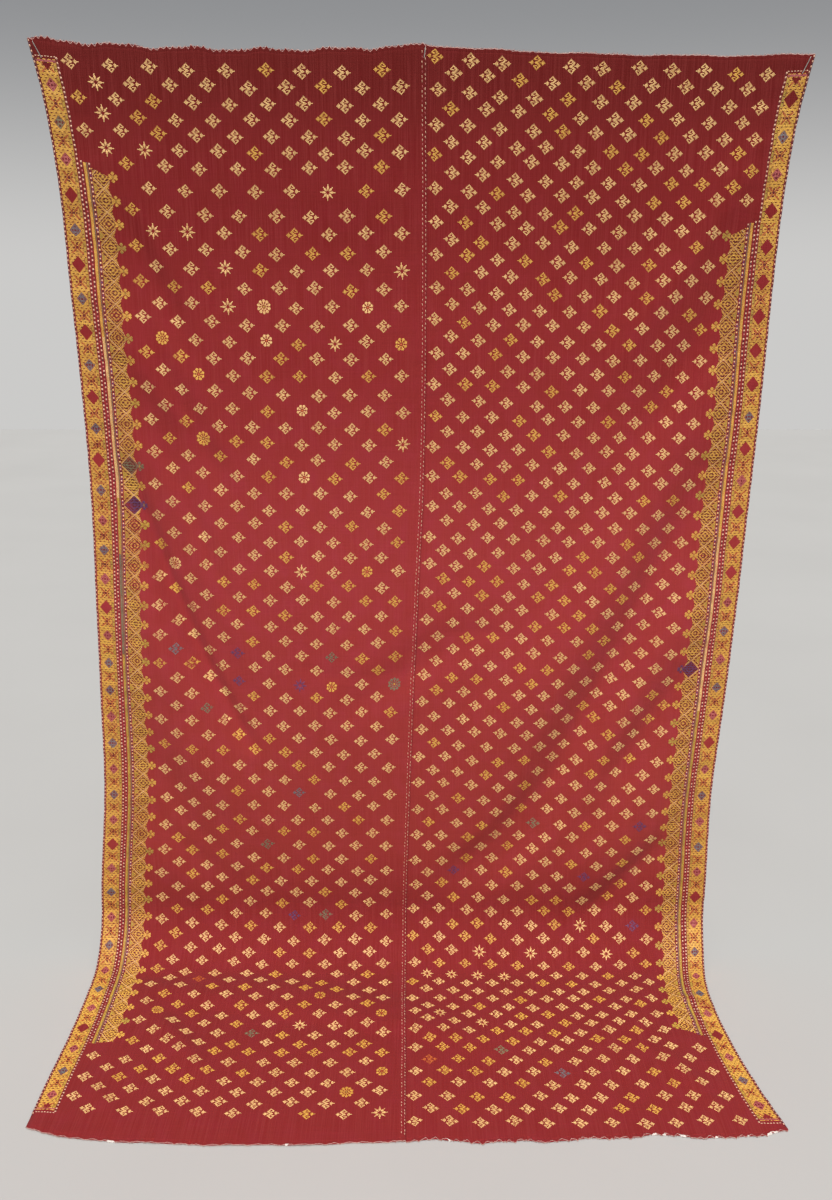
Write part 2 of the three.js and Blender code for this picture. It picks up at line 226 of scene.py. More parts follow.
def fold_share(fold, x, along):
    """One fold's part in the height of the cloth, which fades to both sides and both ends."""
    path, reach, height = fold[1:]
    line = smooth_line(path)
    result = np.zeros_like(x)
    inside = ((x > line[:, 0].min() - reach) & (x < line[:, 0].max() + reach)
              & (along > line[:, 1].min() - reach) & (along < line[:, 1].max() + reach))
    x = x[inside]
    along = along[inside]
    nearest = np.full(x.shape, float(reach))
    travelled = np.zeros(x.shape)
    steps = len(line) - 1
    for step in range(steps):
        start = line[step]
        run = line[step + 1] - start
        t = ((x - start[0]) * run[0] + (along - start[1]) * run[1]) / (run @ run)
        t = np.clip(t, 0, 1)
        distance = np.hypot(x - start[0] - t * run[0], along - start[1] - t * run[1])
        closer = distance < nearest
        nearest[closer] = distance[closer]
        travelled[closer] = (step + t[closer]) / steps
    across = (1 - (nearest / reach) ** 2) ** 2
    wave = FOLD_WAVE[0] + FOLD_WAVE[1] * travelled
    result[inside] = height * across * np.sin(math.pi * wave)
    return result


def top_span(x):
    """The pins to both sides of a place on the top edge, and how far it lies between them."""
    half = (x >= 0).astype(int)
    pins = np.array(PINS, float)
    start, end = pins[half], pins[half + 1]
    share = np.clip((x - start[..., 0]) / (end[..., 0] - start[..., 0]), 0, 1)
    return half, start[..., 1], end[..., 1], share


def top_edge_height(x):
    half, low, high, share = top_span(x)
    sag = np.array(TOP_SAGS, float)[half, 0] * 4 * share * (1 - share)
    return low + share * (high - low) + EDGE_ABOVE_PIN - sag


def cloth_height(x, along):
    half, _, _, share = top_span(x)
    bow = np.array(TOP_SAGS, float)[half, 1] * np.sin(math.pi * share) ** 2
    height = bow * (1 - smooth_step(0, BOW_FADE, along))
    for fold in FOLDS + CREASES:
        height = height + fold_share(fold, x, along)
    return height + fine_height(x, along)


def fine_height(x, along):
    """The small unevenness of hand-stitched cloth: cockled borders, and puckers at the seam."""
    left = read_table(SECTIONS, LEFT_EDGE, along)
    seam = read_table(SECTIONS, SEAM, along)
    right = read_table(SECTIONS, RIGHT_EDGE, along)
    from_edge = np.minimum(x - left, right - x)
    from_seam = np.abs(x - seam)
    border = 1 - smooth_step(*COCKLE_FADE, from_edge)
    cockle = (np.sin(along / 8.3 + 2.1 * np.sin(along / 97.0))
              + 0.6 * np.sin(along / 5.1 + x / 19.0 + 1.3))
    pucker = 1 - smooth_step(*PUCKER_FADE, from_seam)
    gather = np.sin(along / 4.6 + 1.7 * np.sin(along / 61.0)) + 0.5 * np.sin(along / 11.9)
    calm = (np.sin(x / 37.0 + 1.9 * np.sin(along / 143.0))
            * np.sin(along / 49.0 + 1.4 * np.sin(x / 88.0)))
    groove = np.exp(-((from_seam - GROOVE_PLACE) / GROOVE_WIDTH) ** 2)
    return (COCKLE_SIZE * border * cockle + PUCKER_SIZE * pucker * gather + CALM_SIZE * calm
            - GROOVE_DEPTH * groove)


def back_point(x, along):
    """The back of the cloth: down from the pins, round the bend, and out on the floor."""
    travel = along - top_edge_height(x)
    turn = np.clip((travel - HANG_LENGTH) / FLOOR_BEND, 0, math.pi / 2)
    flat = np.maximum(0, travel - HANG_LENGTH - BEND_LENGTH)
    height = cloth_height(x, along)
    lift = np.where(height > 0, height, height * (1 - smooth_step(0, math.pi / 2, turn)))
    forward = np.cos(turn)
    upward = np.sin(turn)
    y = -FLOOR_BEND * (1 - forward) - flat - lift * forward
    z = -np.minimum(travel, HANG_LENGTH) - FLOOR_BEND * upward + lift * upward
    return np.stack((x, y, z), axis=-1)


def raw_wave(x):
    size = np.where(x < 0, RAW_WAVES[0][0], RAW_WAVES[1][0])
    turns = 2 * math.pi * x / np.where(x < 0, RAW_WAVES[0][1], RAW_WAVES[1][1])
    return size * (np.sin(turns) + 0.5 * np.sin(2.3 * turns))


def raw_ends(x):
    """The places along the cloth of its raw top and lower edges."""
    return raw_wave(x), CLOTH_LENGTH - read_table(LOWER_EDGE, 1, x) + raw_wave(-x)


# ---------------------------------------------------------------- one loom width

class LoomWidth:
    """One width of the cloth as a grid of places on it, from its selvedge to the seam."""

    def __init__(self, side):
        self.side = side
        self.is_left = side == "left"
        self.outer_edge = LEFT_EDGE if self.is_left else RIGHT_EDGE
        seam_columns = (LAP_START, LAP_TOP, FLAT_WIDTH) if self.is_left else (FLAT_WIDTH + LAP_WIDTH,)
        even = np.linspace(0, seam_columns[0] - SHORT_OF_SEAM, ACROSS_PLACES)
        self.across = np.append(even, seam_columns)
        hang = np.linspace(0, HANG_LENGTH, HANG_STEPS + 1)[:-1]
        bend = np.linspace(HANG_LENGTH, HANG_LENGTH + BEND_LENGTH, BEND_STEPS + 1)[:-1]
        floor = np.linspace(HANG_LENGTH + BEND_LENGTH, CLOTH_LENGTH, FLOOR_STEPS + 1)
        self.shares = np.concatenate((hang, bend, floor)) / CLOTH_LENGTH
        x, along = self.surface_place(self.across[None, :], self.shares[:, None])
        self.back = back_point(x, along)
        down = np.gradient(self.back, axis=0)
        sideways = np.gradient(self.back, axis=1) * (1 if self.is_left else -1)
        normal = np.cross(down, sideways)
        self.normal = normal / np.linalg.norm(normal, axis=-1, keepdims=True)
        if self.is_left:
            rise = LAP_RISE * np.clip((self.across - LAP_START) / (LAP_TOP - LAP_START), 0, 1)
            self.back = self.back + self.normal * rise[None, :, None]

    def sides_at(self, along):
        """X of the outer edge and of the seam."""
        return read_table(SECTIONS, self.outer_edge, along), read_table(SECTIONS, SEAM, along)

    def column_at(self, across):
        return np.interp(across, self.across, np.arange(len(self.across)))

    def surface_place(self, across, share):
        """X, and the distance along the cloth, of a place given by its share of the length."""
        guide = share * CLOTH_LENGTH
        edge, seam = self.sides_at(guide)
        x = edge + (seam - edge) * across / FLAT_WIDTH
        start, end = raw_ends(x)
        return x, start + (end - start) * share

    def rows_at(self, across, along):
        """The grid row, as a number with a fraction, that lies at a distance along the cloth."""
        share = along / CLOTH_LENGTH
        for _ in range(2):
            x, found = self.surface_place(across, share)
            share = share + (along - found) / CLOTH_LENGTH
        return np.interp(share, self.shares, np.arange(len(self.shares)))

    def on_grid(self, column, row, offset):
        """Points at fractions of the grid, an offset out from the back of the solid."""
        height, width = self.back.shape[:2]
        c = np.clip(column.astype(int), 0, width - 2)
        r = np.clip(row.astype(int), 0, height - 2)
        u = (column - c)[..., None]
        v = (row - r)[..., None]

        def mix(grid):
            top = grid[r, c] * (1 - u) + grid[r, c + 1] * u
            low = grid[r + 1, c] * (1 - u) + grid[r + 1, c + 1] * u
            return top * (1 - v) + low * v

        return mix(self.back) + mix(self.normal) * offset[..., None]

    def place(self, across, along, offset):
        return self.on_grid(self.column_at(across), self.rows_at(across, along), offset)


# ---------------------------------------------------------------- meshes

def make_piece(name, points, faces, face_sizes, colours):
    """One smooth mesh from flat arrays, in metres, riding on the only body."""
    mesh = bpy.data.meshes.new(name)
    mesh.vertices.add(len(points))
    mesh.vertices.foreach_set("co", (points * METRES).astype(np.float32).ravel())
    mesh.loops.add(len(faces))
    mesh.loops.foreach_set("vertex_index", faces.astype(np.int32))
    mesh.polygons.add(len(face_sizes))
    starts = np.concatenate(((0,), np.cumsum(face_sizes)[:-1]))
    mesh.polygons.foreach_set("loop_start", starts.astype(np.int32))
    used = np.unique(colours)
    for index in used:
        mesh.materials.append(MATERIALS[index])
    slots = np.searchsorted(used, colours)
    mesh.polygons.foreach_set("material_index", slots.astype(np.int32))
    mesh.polygons.foreach_set("use_smooth", np.ones(len(face_sizes), bool))
    mesh.update(calc_edges=True)
    mesh.validate()
    piece = bpy.data.objects.new(name, mesh)
    bpy.context.scene.collection.objects.link(piece)
    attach(piece, "root")
    return piece


def closed_wall(name, back, front, mirrored, colours):
    """A thin closed wall between two grids of points, with one colour for each square."""
    height, width = back.shape[:2]
    points = np.concatenate((back.reshape(-1, 3), front.reshape(-1, 3)))
    layer = height * width
    index = np.arange(layer).reshape(height, width)
    a, b = index[:-1, :-1], index[:-1, 1:]
    d, c = index[1:, :-1], index[1:, 1:]
    back_faces = np.stack((a, b, c, d), axis=-1).reshape(-1, 4)
    front_faces = np.stack((a, d, c, b), axis=-1).reshape(-1, 4) + layer
    rim = np.concatenate((index[0, :-1], index[:-1, -1], index[-1, :0:-1], index[:0:-1, 0]))
    following = np.roll(rim, -1)
    rim_faces = np.stack((rim, rim + layer, following + layer, following), axis=-1)
    faces = np.concatenate((back_faces, front_faces, rim_faces))
    if mirrored:
        faces = faces[:, ::-1]
    squares = colours.ravel()
    rim_colours = np.concatenate((colours[0, :], colours[:, -1], colours[-1, ::-1], colours[::-1, 0]))
    all_colours = np.concatenate((squares, squares, rim_colours))
    sizes = np.full(len(faces), 4)
    return make_piece(name, points, faces.ravel(), sizes, all_colours)


class Stitches:
    """Raised stitches on one width: each is a low ridge with sloping sides and ends."""

    def __init__(self, width, on_back=False):
        self.width = width
        self.on_back = on_back
        self.parts = []

    def add(self, from_across, from_along, to_across, to_along, half_width, height, colour):
        columns = np.broadcast_arrays(
            from_across, from_along, to_across, to_along, half_width, height, colour)
        self.parts.append(np.stack([np.asarray(c, float).ravel() for c in columns], axis=-1))

    def add_motifs(self, segments, across, along, turn, size, colour):
        """Copies of a motif's segments at several places, each turned, sized and coloured."""
        cos = (np.cos(turn) * size)[:, None]
        sin = (np.sin(turn) * size)[:, None]
        x0, y0, x1, y1, half_width, shade = segments.T
        place_x = across[:, None]
        place_y = along[:, None]
        self.add(
            place_x + cos * x0 - sin * y0,
            place_y + sin * x0 + cos * y0,
            place_x + cos * x1 - sin * y1,
            place_y + sin * x1 + cos * y1,
            half_width[None, :],
            STITCH_HEIGHT,
            np.where(shade[None, :] < 0, colour[:, None], shade[None, :]),
        )

    def build(self, name):
        a0, v0, a1, v1, half, height, colour = np.concatenate(self.parts).T
        run = np.stack((a1 - a0, v1 - v0), axis=-1)
        length = np.linalg.norm(run, axis=-1)
        run = run / length[:, None]
        side = np.stack((-run[:, 1], run[:, 0]), axis=-1) * half[:, None]
        start = np.stack((a0, v0), axis=-1)
        end = np.stack((a1, v1), axis=-1)
        inset = run * np.minimum(half * 1.1, length * 0.42)[:, None]
        flat = np.stack((
            start + side, start - side, end - side, end + side, start + inset, end - inset), axis=1)
        low = np.full(len(a0), -STITCH_SUNK)
        lift = np.stack((low, low, low, low, height, height), axis=1)
        offset = BACK_FACE - lift if self.on_back else FRONT_FACE + lift
        points = self.width.place(flat[..., 0], flat[..., 1], offset).reshape(-1, 3)
        faces = np.array(((1, 2, 5, 4), (3, 0, 4, 5)))
        ends = np.array(((0, 1, 4), (2, 3, 5)))
        if self.width.is_left != self.on_back:
            faces = faces[:, ::-1]
            ends = ends[:, ::-1]
        pattern = np.concatenate((faces.ravel(), ends.ravel()))
        loops = (np.arange(len(a0)) * 6)[:, None] + pattern[None, :]
        sizes = np.tile((4, 4, 3, 3), len(a0))
        piece = make_piece(name, points, loops.ravel(), sizes, np.repeat(colour.astype(int), 4))
        return piece


# ---------------------------------------------------------------- colours and materials

STITCH_HEIGHT = 0.75
STITCH_SUNK = 0.3

(GOLD, PALE_GOLD, ORANGE, CREAM, PLUM, PINK, BLUE, YELLOW_GREEN, PURPLE, GREY_GREEN,
 MAROON, RAW_THREAD, WHITE_THREAD, CLOTH) = range(14)
BARE = -1

# Screen colours of the dyes: name, main, second, how rough.
DYES = (
    ("silk_gold", (220, 168, 70), (200, 144, 52), 0.5),
    ("silk_pale_gold", (242, 188, 122), (222, 164, 96), 0.5),
    ("silk_orange", (190, 96, 40), (164, 74, 34), 0.5),
    ("silk_cream", (222, 178, 148), (198, 152, 122), 0.55),
    ("silk_plum", (72, 24, 32), (50, 18, 26), 0.6),
    ("silk_pink", (180, 92, 88), (150, 66, 68), 0.5),
    ("silk_blue", (112, 108, 108), (84, 82, 92), 0.5),
    ("silk_yellow_green", (190, 152, 56), (168, 140, 62), 0.5),
    ("silk_purple", (96, 54, 96), (74, 46, 88), 0.5),
    ("silk_grey_green", (124, 116, 84), (92, 88, 70), 0.5),
    # Maroon silk is also laid as painted shade, in the band's dots and the teeth's dark rings.
    ("silk_maroon", (94, 18, 12), (74, 14, 10), 0.6),
    ("raw_thread", (178, 140, 130), (148, 106, 102), 0.85),
    ("white_thread", (226, 214, 204), (200, 184, 176), 0.85),
)


def linear(colour):
    """A screen colour, 0 to 255, as the linear one that a shader takes."""
    shares = [c / 255 for c in colour]
    return [*(s / 12.92 if s <= 0.04045 else ((s + 0.055) / 1.055) ** 2.4 for s in shares), 1]


def add_node(tree, kind, inputs=(), **settings):
    """A new node, with each input linked from another node or set to a constant."""
    made = tree.nodes.new("ShaderNode" + kind)
    for key, value in settings.items():
        setattr(made, key, value)
    for key, value in dict(inputs).items():
        if isinstance(value, bpy.types.NodeSocket):
            tree.links.new(value, made.inputs[key])
        else:
            made.inputs[key].default_value = value
    return made


class Shader:
    """A material's node tree, written one node at a time."""

    def __init__(self, name):
        self.material = bpy.data.materials.new(name)
        self.material.use_nodes = True
        self.tree = self.material.node_tree
        self.principled = self.tree.nodes["Principled BSDF"]

    def node(self, kind, inputs=(), **settings):
        return add_node(self.tree, kind, inputs, **settings)

    def cloth_places(self, scale):
        """Places on the cloth as (across, along, 0), on the hanging part and on the floor."""
        place = self.node("TexCoord").outputs["Object"]
        split = self.node("SeparateXYZ", {0: place})
        along = self.node("Math", {0: split.outputs["Y"], 1: split.outputs["Z"]}, operation="ADD")
        joined = self.node("CombineXYZ", {0: split.outputs["X"], 1: along.outputs[0]})
        scaled = self.node("VectorMath", {0: joined.outputs[0], 1: scale}, operation="MULTIPLY")
        return scaled.outputs[0]

    def noise(self, scale, detail=2.0, size=1.0):
        return self.node("TexNoise", {"Vector": self.cloth_places(scale), "Scale": size,
                                      "Detail": detail}).outputs["Fac"]

    def ramp(self, value, low, high):
        return self.node("MapRange", {0: value, 1: low, 2: high}).outputs[0]

    def grade(self, value, stops):
        """A smooth scale of screen colours, each with its place on the scale."""
        ramp = self.node("ValToRGB", {0: value})
        scale = ramp.color_ramp
        scale.interpolation = "EASE"
        scale.elements.remove(scale.elements[1])
        scale.elements[0].color = linear(stops[0][1])
        for place, colour in stops[1:]:
            scale.elements.new(place).color = linear(colour)
        return ramp.outputs["Color"]

    def mix(self, share, first, second):
        return self.node("Mix", {0: share, 6: first, 7: second}, data_type="RGBA").outputs[2]

    def bump(self, height, strength, distance, before=None):
        inputs = {"Strength": strength, "Distance": distance, "Height": height}
        if before is not None:
            inputs["Normal"] = before
        return self.node("Bump", inputs).outputs["Normal"]

    def finish(self, colour, normal, **constants):
        self.tree.links.new(colour, self.principled.inputs["Base Color"])
        self.tree.links.new(normal, self.principled.inputs["Normal"])
        for key, value in constants.items():
            self.principled.inputs[key.replace("_", " ")].default_value = value
        return self.material


def silk_material(name, main, second, roughness):
    """Floss silk: patches of the dye, single brighter stitches, and fine threads across."""
    shader = Shader(name)
    patches = shader.ramp(shader.noise((9, 9, 9)), 0.4, 0.62)
    stitch = shader.ramp(shader.noise((420, 620, 1), detail=1), 0.42, 0.66)
    base = shader.mix(patches, linear(main), linear(second))
    lifted = [min(255, c * 1.12 + 8) for c in main]
    colour = shader.mix(stitch, base, linear(lifted))
    threads = shader.noise((600, 3200, 1), detail=1)
    normal = shader.bump(threads, 0.5, 0.0002)
    return shader.finish(colour, normal, Roughness=roughness, Sheen_Weight=0.1,
                         Sheen_Roughness=0.4)


# Painted shade down the cloth, from its top edge to the hem: darkest at the top, lightest about a metre
# down, darker again round the bend and on the floor. Distance along the cloth, screen colour.
PAINTED_SHADE_DOWN_CLOTH = ((0, (100, 15, 10)), (250, (125, 25, 25)), (500, (140, 35, 35)), (1000, (160, 50, 50)),
          (1600, (155, 50, 45)), (1880, (135, 35, 35)), (2430, (140, 35, 35)))


def cloth_material():
    """Madder red handwoven cotton: painted shade down its length, cloudy dye, thick and thin yarns both
    ways, plain weave.
    """
    shader = Shader("red_cotton")
    split = shader.node("SeparateXYZ", {0: shader.cloth_places((1, -1, 1))})
    down = shader.ramp(split.outputs["Y"], 0, CLOTH_LENGTH * METRES)
    # The base colour is painted shade: darker at the top edge, round the bend and on the floor.
    base = shader.grade(down, [(place / CLOTH_LENGTH, colour) for place, colour in PAINTED_SHADE_DOWN_CLOTH])
    darker, pinker = (
        shader.node("VectorMath", {0: base, 1: change}, operation="MULTIPLY").outputs[0]
        for change in ((0.86, 0.72, 0.70), (1.06, 1.02, 1.55)))
    clouds = shader.ramp(shader.noise((4, 3, 1), detail=4), 0.35, 0.68)
    blotches = shader.ramp(shader.noise((30, 22, 1), detail=3), 0.42, 0.7)
    weft = shader.ramp(shader.noise((9, 520, 1), detail=2), 0.38, 0.66)
    warp = shader.ramp(shader.noise((620, 8, 1), detail=2), 0.4, 0.68)
    colour = shader.mix(shader.ramp(clouds, 0, 2.4), base, darker)
    colour = shader.mix(shader.ramp(blotches, 0, 1.6), colour, pinker)
    colour = shader.mix(shader.ramp(weft, 0, 2.4), colour, darker)
    colour = shader.mix(shader.ramp(warp, 0, 7.0), colour, linear((184, 84, 80)))
    yarns = [shader.node("TexWave", {"Vector": shader.cloth_places((1, 1, 1)), "Scale": 420.0,
                                     "Distortion": 0.6}, bands_direction=direction).outputs["Fac"]
             for direction in "XY"]
    weave = shader.node("Math", {0: yarns[0], 1: yarns[1]}, operation="MAXIMUM").outputs[0]
    first = shader.bump(weave, 0.35, 0.0003)
    slubs = shader.node("Math", {0: weft, 1: warp}, operation="ADD").outputs[0]
    normal = shader.bump(slubs, 0.3, 0.0003, before=first)
    return shader.finish(colour, normal, Roughness=0.9, Sheen_Weight=0.06, Sheen_Roughness=0.5,
                         Specular_IOR_Level=0.22)


def wire_material():
    """Drawn steel wire: fine marks along it, and duller where it has been handled."""
    shader = Shader("bright_wire")
    marks = shader.noise((900, 240, 1), detail=3)
    worn = shader.ramp(marks, 0.35, 0.7)
    colour = shader.mix(worn, linear((226, 222, 212)), linear((186, 180, 168)))
    return shader.finish(colour, shader.bump(marks, 0.3, 0.0001), Roughness=0.32, Metallic=0.9)


def floor_material():
    shader = Shader("pale_floor")
    cloud = shader.noise((1.3, 1.3, 1), detail=3)
    colour = shader.mix(cloud, linear((198, 196, 192)), linear((190, 188, 184)))
    grain = shader.noise((140, 140, 1), detail=2)
    return shader.finish(colour, shader.bump(grain, 0.05, 0.001), Roughness=0.9)


MATERIALS = [silk_material(*dye) for dye in DYES] + [cloth_material()]


# ---------------------------------------------------------------- motifs of the field

def both_ways(upper):
    """A chart from its upper rows, the last of which is its middle one."""
    return upper + upper[-2::-1]


BUTI = both_ways((
    "........#........",
    ".......###.......",
    "......##.##......",
    ".....###..##.....",
    "....###.####.....",
    "..#..###.....#...",
    ".###..####..###..",
    "######.####.#####",
))
FINIAL = both_ways((
    ".....###.....",
    "....#####....",
    "....#####....",
    ".##..###..##.",
    "#####.o.#####",
    "######o######",
    ".####ooo####.",
))
BUTI_BACK = both_ways((
    "........#........",
    "......#####......",
    "..#..###.###..#..",
    ".####..###..####.",
    "#######...#######",
))
BUTI_CELL = (1.9, 1.75)  # across, along
BUTI_BACK_CELL = (1.8, 2.7)
FINIAL_CELL = (1.4, 1.5)
OWN = -1  # a segment in its motif's own colour


def chart_segments(chart, cell):
    """A charted motif as one stitch for each run of filled cells in a row."""
    wide, tall = cell
    segments = []
    for row, line in enumerate(chart):
        y = (row - (len(chart) - 1) / 2) * tall
        column = 0
        while column < len(line):
            run = 1
            while column + run < len(line) and line[column + run] == line[column]:
                run += 1
            if line[column] != ".":
                x = (column - len(line) / 2) * wide
                shade = OWN if line[column] == "#" else YELLOW_GREEN
                segments.append((x, y, x + run * wide, y, tall * 0.52, shade))
            column += run
    return np.array(segments, float)


def ray(angle, start, end, half_width, aside=0.0, shade=OWN):
    """A stitch that runs outwards from a motif's middle."""
    cos, sin = math.cos(angle), math.sin(angle)
    return (start * cos - aside * sin, start * sin + aside * cos,
            end * cos - aside * sin, end * sin + aside * cos, half_width, shade)


def star_segments():
    """Eight narrow leaves, each a long stitch with a shorter one on both sides."""
    segments = []
    for leaf in range(8):
        angle = math.pi * (leaf + 0.5) / 4 + math.pi / 8
        reach = 15.6 if leaf % 2 else 14.2
        segments.append(ray(angle, 3.0, reach, 1.05))
        segments.append(ray(angle, 5.2, reach - 4.6, 0.65, 1.5))
        segments.append(ray(angle, 5.2, reach - 4.6, 0.65, -1.5))
    return np.array(segments, float)


def round_segments(petals, reach, blunt_from, half_width, middle):
    """Blunt petals close round a small middle."""
    segments = [(-2.4, 0, 2.4, 0, 2.2, middle)]
    for petal in range(petals):
        angle = 2 * math.pi * (petal + 0.5) / petals
        segments.append(ray(angle, 3.2, reach, half_width))
        segments.append(ray(angle, blunt_from, reach - 1.1, half_width - 0.3, half_width + 0.6))
        segments.append(ray(angle, blunt_from, reach - 1.1, half_width - 0.3, -half_width - 0.6))
    return np.array(segments, float)


MOTIFS = {
    "buti": chart_segments(BUTI, BUTI_CELL),
    "star": star_segments(),
    "rosette": round_segments(10, 14.6, 8.6, 1.35, YELLOW_GREEN),
    "flower": round_segments(8, 12.4, 7.4, 1.4, ORANGE),
}
BACK_MOTIFS = {
    "buti": chart_segments(BUTI_BACK, BUTI_BACK_CELL),
    "star": star_segments()[::3],
    "rosette": round_segments(10, 14.6, 8.6, 1.35, YELLOW_GREEN)[1::2],
    "flower": round_segments(8, 12.4, 7.4, 1.4, ORANGE)[1::2],
}

# Motifs that differ from the plain gold buti: kind and colour, then places across and down the
# picture in pixels. Each takes the place of the nearest buti of the field.
ACCENTS = {
    ("star", PALE_GOLD): ((97, 76), (99, 107), (108, 144), (142, 145), (148, 229), (180, 231),
        (325, 191), (392, 273), (221, 275), (224, 306), (332, 347), (302, 568), (397, 453),
        (479, 949), (533, 949), (610, 947), (589, 923), (420, 975), (446, 974), (478, 976),
        (508, 976), (443, 1022), (474, 1023), (301, 1018), (379, 1112)),
    ("rosette", PALE_GOLD): ((262, 307), (175, 565)),
    ("rosette", GOLD): ((156, 338), (203, 447), (163, 1015), (348, 1092)),
    ("flower", PALE_GOLD): ((365, 311), (264, 345), (302, 415), (300, 485)),
    ("flower", GOLD): ((393, 347), (198, 377), (369, 575), (334, 686), (323, 999), (375, 1018),
        (374, 1071)),
    ("buti", PURPLE): ((239, 655), (240, 684), (303, 918), (636, 829), (625, 918), (458, 874),
        (586, 878)),
    ("buti", BLUE): ((181, 656), (302, 790), (565, 1078)),
    ("buti", GREY_GREEN): ((334, 659), (212, 713), (272, 845), (327, 919), (245, 1035), (534, 826),
        (500, 1057)),
    ("star", PURPLE): ((301, 683),),
    ("rosette", GREY_GREEN): ((395, 687),),
    ("buti", ORANGE): ((206, 984), (431, 1059)),
}

# Rows of butis, counted down the picture near the seam: height in the picture, row.
ROWS_SEEN = {
    "left": ((70, 0), (169, 6), (216, 8), (309, 13), (545, 27), (700, 38), (859, 50), (975, 60),
             (1053, 69), (1113, 75)),
    "right": ((58, 0), (222, 10), (416, 22), (595, 34), (731, 44), (861, 54), (976, 63), (1050, 72),
              (1123, 78)),
}
COUNTED_AT = {"left": 345, "right": 495}  # how far across the picture the rows were counted
# How far the rows drop away from the seam: along, millimetres for each millimetre across.
ROW_LEANS = {
    "left": np.array(((0, 0), (1000, -0.04), (2430, 0))),
    "right": np.array(((0, 0.02), (700, 0), (2430, -0.03))),
}
COLUMN_PITCH = {"left": 70, "right": 62}
COLUMN_FIRST = {"left": 105, "right": 108}
ROW_LAST = 2392
CLEAR_OF_BORDER = 134
CLEAR_OF_BAND = 62
CLEAR_OF_SEAM = {"left": 20, "right": 14}
CLEAR_OF_WIDE = (22, 18)  # above and below the wide part of a border
SEAM_MIDDLE = -18  # X of the seam, about half way down
PALE_SHARE = 0.74  # of the butis, in the paler gold
PLACE_ERROR = 3.5  # how unevenly the butis are stitched
TURN_ERROR = 0.045
SIZE_RANGE = (0.94, 1.06)

# The wide part of each border: where it starts and ends along the cloth.
WIDE_BORDER = {"left": (200, 2190), "right": (285, 2140)}
BAND = (32, 2372)


def cloth_place(picture_x, picture_y):
    """X and along of a spot in the picture, on the hanging cloth, the bend or the floor."""
    focal = LENS / SENSOR * PICTURE[1]
    right = (picture_x - PICTURE[0] / 2) / focal
    up = (PICTURE[1] / 2 - picture_y) / focal
    sight = np.array((right, math.cos(CAMERA_DOWN) + up * math.sin(CAMERA_DOWN),
                      up * math.cos(CAMERA_DOWN) - math.sin(CAMERA_DOWN)))
    eye = np.array(CAMERA_PLACE) / METRES
    hung = eye - sight * eye[1] / sight[1]
    if -hung[2] < HANG_LENGTH:
        return hung[0], -hung[2]
    lying = eye - sight * (FLOOR_DROP + eye[2]) / sight[2]
    if -lying[1] > FLOOR_BEND:
        return lying[0], HANG_LENGTH + BEND_LENGTH - lying[1] - FLOOR_BEND
    turn = np.linspace(0, math.pi / 2, 60)
    reach = (-FLOOR_BEND * (1 - np.cos(turn)) - eye[1]) / sight[1]
    miss = np.abs(eye[2] + reach * sight[2] + HANG_LENGTH + FLOOR_BEND * np.sin(turn))
    best = np.argmin(miss)
    return eye[0] + reach[best] * sight[0], HANG_LENGTH + FLOOR_BEND * turn[best]


def field_places(width):
    """Middles of the butis: staggered rows, which leave the borders and the seam clear."""
    side = width.side
    spacing = COLUMN_PITCH[side]
    wide_from, wide_to = WIDE_BORDER[side]
    places = []
    heights, counts = zip(*ROWS_SEEN[side])
    seen = [cloth_place(COUNTED_AT[side], height)[1] for height in heights]
    for row in range(counts[-1] + 1):
        along = float(np.interp(row, counts, seen))
        across = COLUMN_FIRST[side] - (spacing if row % 2 else spacing / 2)
        lean = float(read_table(ROW_LEANS[side], 1, np.array(along)))
        while across < FLAT_WIDTH - CLEAR_OF_SEAM[side]:
            sloped = along + lean * (FLAT_WIDTH - across)
            in_wide = wide_from - CLEAR_OF_WIDE[0] < sloped < wide_to + CLEAR_OF_WIDE[1]
            if across >= (CLEAR_OF_BORDER if in_wide else CLEAR_OF_BAND) and sloped < ROW_LAST:
                places.append((across, sloped))
            across += spacing
    return np.array(places, float)


def across_of(width, x, along):
    edge, seam = width.sides_at(np.array(float(along)))
    return (x - edge) / (seam - edge) * FLAT_WIDTH


class Field:
    """Every motif of one width's field: its kind, place, turn, size and colour."""

    def __init__(self, width, random):
        self.width = width
        places = field_places(width)
        count = len(places)
        self.kinds = np.full(count, "buti", dtype=object)
        self.colours = np.where(random.random(count) < PALE_SHARE, PALE_GOLD, GOLD)
        for (kind, colour), spots in ACCENTS.items():
            for spot in spots:
                x, along = cloth_place(*spot)
                if (x < SEAM_MIDDLE) == width.is_left:
                    away = places - (across_of(width, x, along), along)
                    nearest = np.argmin(np.hypot(away[:, 0], away[:, 1]))
                    self.kinds[nearest] = kind
                    self.colours[nearest] = colour
        self.places = places + random.uniform(-PLACE_ERROR, PLACE_ERROR, (count, 2))
        self.turns = random.normal(0, TURN_ERROR, count)
        self.sizes = random.uniform(*SIZE_RANGE, count)

    def stitch(self, stitches, motifs, lowest=CLOTH_LENGTH):
        for kind, segments in motifs.items():
            chosen = (self.kinds == kind) & (self.places[:, 1] < lowest)
            if chosen.any():
                stitches.add_motifs(segments, self.places[chosen, 0], self.places[chosen, 1],
                                    self.turns[chosen], self.sizes[chosen], self.colours[chosen])

    def front(self):
        stitches = Stitches(self.width)
        self.stitch(stitches, MOTIFS)
        return stitches.build(self.width.side + "_field_silk")


# ---------------------------------------------------------------- borders

# Medallions of each band from the top: P pink, B blue-grey, G grey-green, R a bare red diamond.
MEDALLIONS = {
    "left": "PGPRBRBRBRBRBPBPRPBBPBPBPRPBPBPBPRPBP",
    "right": "RBPRRRRRRBRPRRRPBPBPRPBPBPRPBPBPRPBP",
}
MEDALLION_FIRST = 75
MEDALLION_COLOURS = {"P": PINK, "B": BLUE, "G": GREY_GREEN, "R": BARE}
BAND_MIDDLE = 22.5
BAND_CELL = (1.5, 1.75)
BAND_ACROSS = (4.5, 40.5)

